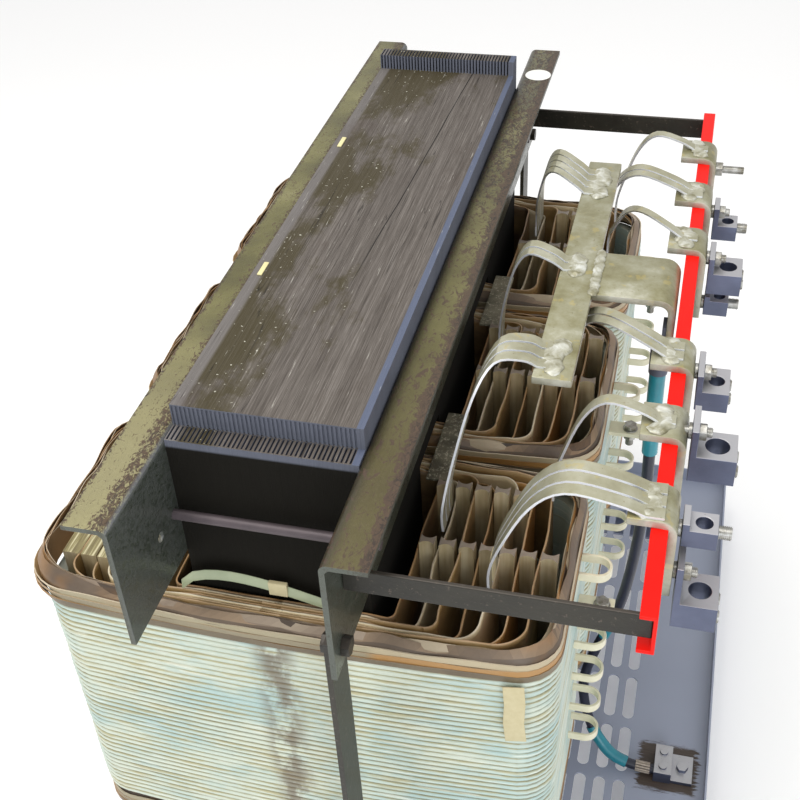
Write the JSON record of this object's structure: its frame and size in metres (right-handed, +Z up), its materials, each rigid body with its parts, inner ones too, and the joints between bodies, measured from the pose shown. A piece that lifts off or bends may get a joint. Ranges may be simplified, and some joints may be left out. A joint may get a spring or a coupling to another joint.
{
  "type": "power transformer",
  "caption": "Dry-type three-phase power transformer: laminated core, taped coils, red terminal rail with lugs, on a slotted base pan.",
  "frame": {"origin": "on the floor, under the middle of the base pan", "axes": "+Z up, Y along the yokes, +X towards the terminal side"},
  "size_m": [0.85, 1.28, 1.06],
  "materials": {
    "core_steel": "bare lamination edges, varnished and stained",
    "clamp_varnish": "amber varnish over dark steel, rusty",
    "dark_steel": "black-brown varnish",
    "rail_red": "bright red polyester paint",
    "tinned_bar": "tinned and varnished",
    "lug_aluminium": "satin",
    "zinc_steel": "zinc plated",
    "turn_tape": "pale glass tape soaked in varnish",
    "barrier_paper": "varnished aramid board",
    "duct_stick": "varnished glass-fibre stick",
    "mica_plate": "speckled dark laminate",
    "pan_grey": "blue-grey enamel",
    "pad_rubber": "matt",
    "cable_black": "satin"
  },
  "bodies": {
    "root": {"base_pan": "pan_grey", "base_rails": "pan_grey", "bonding_cable": "cable_black", "bottom_clamp_left": "clamp_varnish", "bottom_clamp_right": "clamp_varnish", "bottom_tie_rods": "dark_steel", "bottom_yoke": "core_steel", "cable_lug": "lug_aluminium", "coil_supports": "duct_stick", "collars_far": "barrier_paper", "collars_middle": "barrier_paper", "collars_near": "barrier_paper", "connector_lugs": "lug_aluminium", "ground_lug": "lug_aluminium", "insulation_plates": "mica_plate", "isolation_pads": "pad_rubber", "layers_far": "barrier_paper", "layers_middle": "barrier_paper", "layers_near": "barrier_paper", "leads_far": "tinned_bar", "leads_middle": "tinned_bar", "leads_near": "tinned_bar", "limb_far": "core_steel", "limb_middle": "core_steel", "limb_near": "core_steel", "neutral_bus": "tinned_bar", "rail_arms": "dark_steel", "spacers_far": "duct_stick", "spacers_middle": "duct_stick", "spacers_near": "duct_stick", "support_feet": "clamp_varnish", "taps_far": "turn_tape", "taps_middle": "turn_tape", "taps_near": "turn_tape", "terminal_pads": "tinned_bar", "terminal_rail": "rail_red", "terminal_screws": "zinc_steel", "tie_straps": "dark_steel", "top_clamp_left": "clamp_varnish", "top_clamp_right": "clamp_varnish", "top_tie_rods": "dark_steel", "top_yoke": "core_steel", "winding_far": "turn_tape", "winding_middle": "turn_tape", "winding_near": "turn_tape"}
  },
  "joints": []
}
